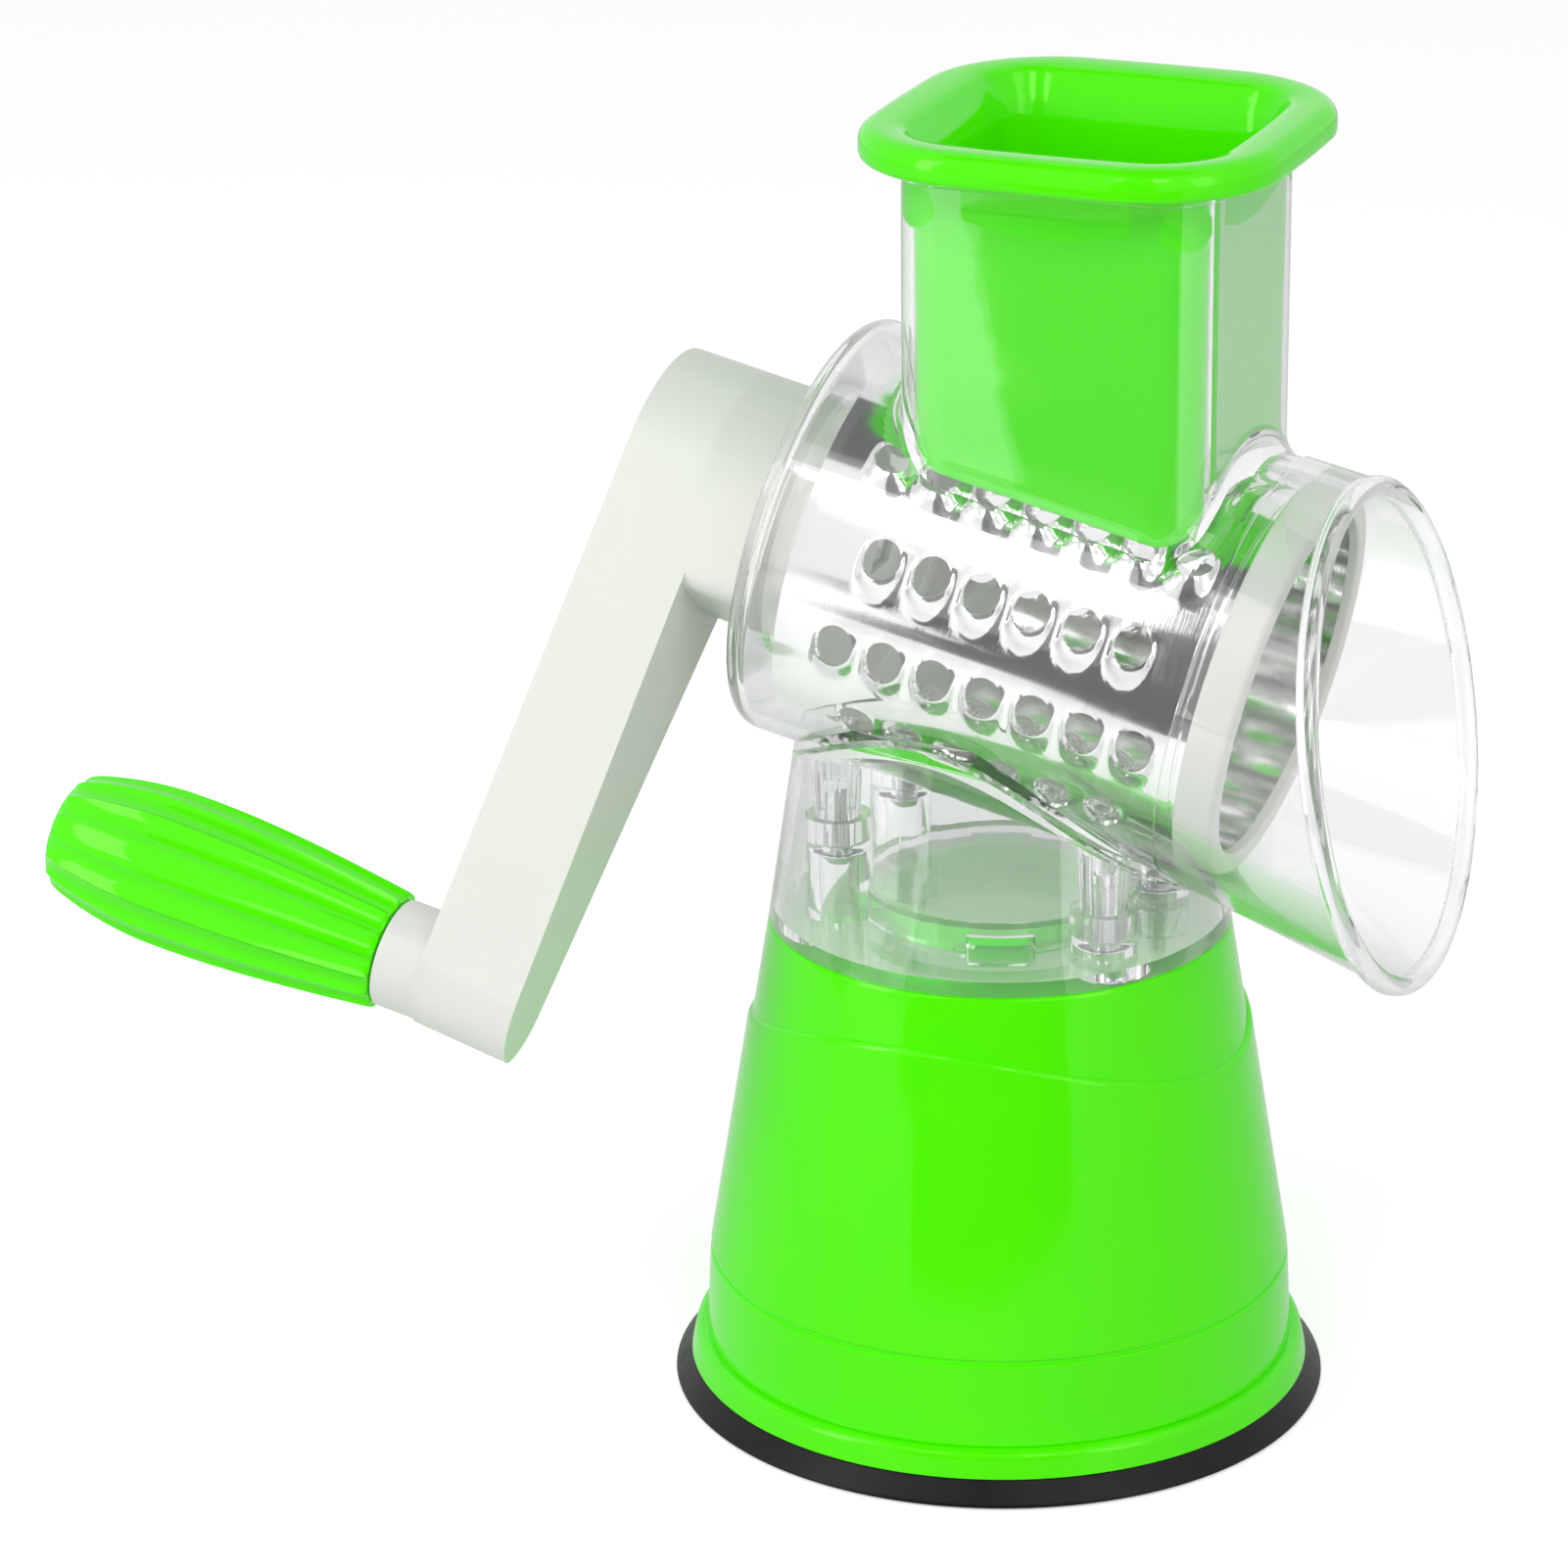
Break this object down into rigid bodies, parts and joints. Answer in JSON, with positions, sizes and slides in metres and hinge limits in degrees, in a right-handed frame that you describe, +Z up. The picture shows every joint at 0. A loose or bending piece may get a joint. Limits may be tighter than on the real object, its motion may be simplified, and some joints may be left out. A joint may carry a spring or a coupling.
{
  "type": "rotary vegetable grater",
  "caption": "Hand-cranked drum grater: suction base, clear twist-off housing, square feed chute with pusher, tilted steel drum, outlet funnel and fluted grip.",
  "frame": {"origin": "middle of the rubber cup's underside, on the table", "axes": "+Z up along the base's axis, +X in plan along the drum axis towards the outlet, the crank on the -X side"},
  "size_m": [0.2393, 0.1472, 0.2408],
  "materials": {
    "black_rubber": "satin moulded rubber",
    "white_plastic": "satin moulded plastic",
    "green_plastic": "glossy moulded plastic",
    "clear_plastic": "clear polished plastic",
    "bright_sheet_steel": "bright rolled stainless sheet",
    "plain_steel": "plated steel"
  },
  "bodies": {
    "base": {"suction_cup": "black_rubber", "foot_ring": "green_plastic", "foot_screws": "plain_steel", "base_shell": "green_plastic"},
    "lever": {"suction_lever": "green_plastic"},
    "lift": {"cup_stem": "white_plastic", "lift_pin": "plain_steel"},
    "housing": {"lower_housing": "clear_plastic", "upper_housing": "clear_plastic", "housing_screws": "plain_steel"},
    "pusher": {"pusher": "green_plastic"},
    "crank": {"drum": "bright_sheet_steel", "drum_front_ring": "white_plastic", "drum_back_plate": "white_plastic", "drive_shaft": "plain_steel", "crank_arm": "white_plastic", "crank_screw": "plain_steel", "grip_washer": "plain_steel", "grip_screw": "plain_steel"},
    "grip": {"grip": "green_plastic", "grip_cap": "green_plastic"}
  },
  "joints": [
    {"name": "lever_turn", "type": "hinge", "parent": "base", "child": "lever", "pos_m": [0, 0, 0.0158], "axis": [0, 0, 1], "range_deg": [0, 60]},
    {"name": "cup_pull", "type": "slide", "parent": "base", "child": "lift", "axis": [0, 0, 1], "range_m": [0, 0.004], "deforming": ["suction_cup"]},
    {"name": "housing_twist", "type": "hinge", "parent": "base", "child": "housing", "pos_m": [0, 0, 0.0907], "axis": [0, 0, 1], "range_deg": [0, 35]},
    {"name": "pusher_slide", "type": "slide", "parent": "housing", "child": "pusher", "axis": [0, 0, 1], "range_m": [0, 0.06]},
    {"name": "crank_turn", "type": "hinge", "parent": "housing", "child": "crank", "pos_m": [0, 0, 0.1527], "axis": [0.9755, 0, -0.2198], "continuous": true},
    {"name": "grip_spin", "type": "hinge", "parent": "crank", "child": "grip", "pos_m": [-0.12353, -0.06311, 0.10036], "axis": [-0.9755, 0, 0.2198], "continuous": true}
  ],
  "couplings": [
    {"joint": "cup_pull", "follows": "lever_turn", "m_per_rad": 0.0038197}
  ]
}
